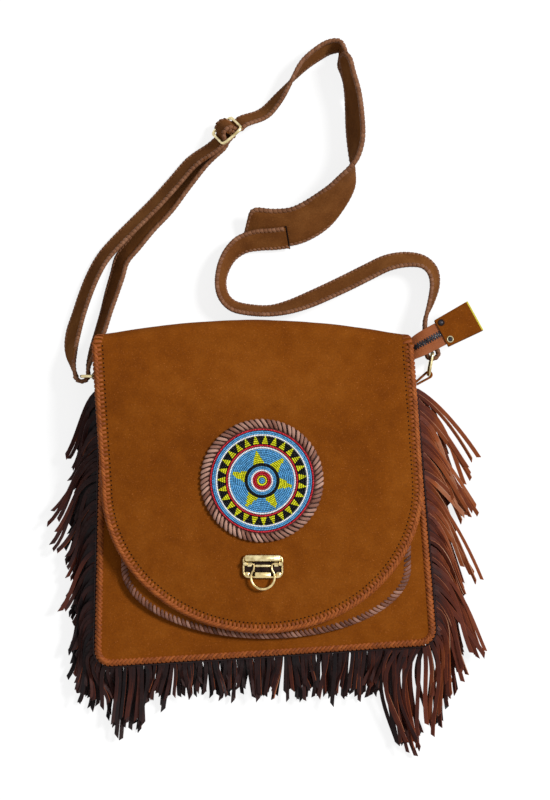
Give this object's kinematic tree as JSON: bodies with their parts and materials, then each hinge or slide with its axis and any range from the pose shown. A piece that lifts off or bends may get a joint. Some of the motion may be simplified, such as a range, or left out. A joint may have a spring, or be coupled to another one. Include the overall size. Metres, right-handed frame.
{
  "type": "fringed shoulder bag",
  "caption": "Suede shoulder bag with a laced flap, fringe on three sides, a beaded medallion, a tuck clasp, a padded adjustable strap and a zip, lying on its back.",
  "frame": {"origin": "middle of the back panel's outer face, where the bag lies", "axes": "+Y towards the mouth and the straps, +Z out of the front, +X to the right as seen from the front"},
  "size_m": [0.3985, 0.6475, 0.0669],
  "materials": {
    "suede": "matt napped suede",
    "orange_lace": "smooth lace, slightly shiny",
    "mauve_lace": "smooth lace, slightly shiny",
    "fringe_leather": "smooth leather",
    "strap_leather": "suede face with laced edges",
    "facing_leather": "smooth leather",
    "brass": "antique, rubbed edges",
    "black_metal": "dark satin",
    "beads_black": "opaque glossy glass seed beads",
    "beads_blue": "opaque glossy glass seed beads",
    "beads_red": "opaque glossy glass seed beads",
    "beads_white": "opaque glossy glass seed beads",
    "beads_yellow": "opaque glossy glass seed beads"
  },
  "bodies": {
    "bag": {"front_panel": "suede", "back_panel": "suede", "gusset": "suede", "pocket_panel": "suede", "pocket_gusset": "suede", "flap_fold": "suede", "ring_tab_left": "suede", "ring_tab_right": "suede", "zip_end_tab": "suede", "front_lacing": "orange_lace", "back_lacing": "orange_lace", "pocket_lacing": "mauve_lace", "fringe_left": "fringe_leather", "fringe_bottom": "fringe_leather", "fringe_right": "fringe_leather", "strap_long": "strap_leather", "shoulder_pad": "strap_leather", "strap_short": "strap_leather", "zip_facing_front": "facing_leather", "zip_facing_back": "facing_leather", "zip_tail_front": "facing_leather", "zip_tail_back": "facing_leather", "clasp_catch": "brass", "strap_slider": "brass", "zip_teeth_front": "black_metal", "zip_teeth_back": "black_metal", "zip_tab_rivet_upper": "black_metal", "zip_tab_rivet_lower": "black_metal"},
    "flap": {"flap": "suede", "flap_lacing": "orange_lace", "medallion_backing": "mauve_lace", "medallion_lacing": "mauve_lace", "clasp_housing": "brass", "clasp_back_plate": "brass", "beads_black_1": "beads_black", "beads_black_2": "beads_black", "beads_blue_1": "beads_blue", "beads_blue_2": "beads_blue", "beads_blue_3": "beads_blue", "beads_blue_4": "beads_blue", "beads_red_1": "beads_red", "beads_red_2": "beads_red", "beads_red_3": "beads_red", "beads_white_1": "beads_white", "beads_white_2": "beads_white", "beads_white_3": "beads_white", "beads_yellow_1": "beads_yellow", "beads_yellow_star": "beads_yellow", "beads_yellow_triangles": "beads_yellow"},
    "clasp_bail": {"clasp_bail": "brass"},
    "zip_slider": {"zip_slider": "black_metal"},
    "zip_pull": {"zip_pull": "black_metal"},
    "ring_left": {"ring_left": "brass"},
    "ring_right": {"ring_right": "brass"}
  },
  "joints": [
    {"name": "flap_hinge", "type": "hinge", "parent": "bag", "child": "flap", "pos_m": [0, 0.133, 0.0482], "axis": [-1, 0, 0], "range_deg": [0, 150]},
    {"name": "bail_hinge", "type": "hinge", "parent": "flap", "child": "clasp_bail", "pos_m": [-0.0018, -0.0638, 0.06502], "axis": [-1, 0, 0], "range_deg": [0, 90]},
    {"name": "zip_slide", "type": "slide", "parent": "bag", "child": "zip_slider", "axis": [1, 0, 0], "range_m": [0, 0.2]},
    {"name": "pull_hinge", "type": "hinge", "parent": "zip_slider", "child": "zip_pull", "pos_m": [-0.128, 0.1132, 0.018], "axis": [0, 0, 1], "range_deg": [0, 170]},
    {"name": "ring_left_hinge", "type": "hinge", "parent": "bag", "child": "ring_left", "pos_m": [-0.1535, 0.1045, 0.0175], "axis": [0, 0, -1], "range_deg": [0, 25]},
    {"name": "ring_right_hinge", "type": "hinge", "parent": "bag", "child": "ring_right", "pos_m": [0.14803, 0.1058, 0.0175], "axis": [0, 0, 1], "range_deg": [-3, 3]}
  ]
}
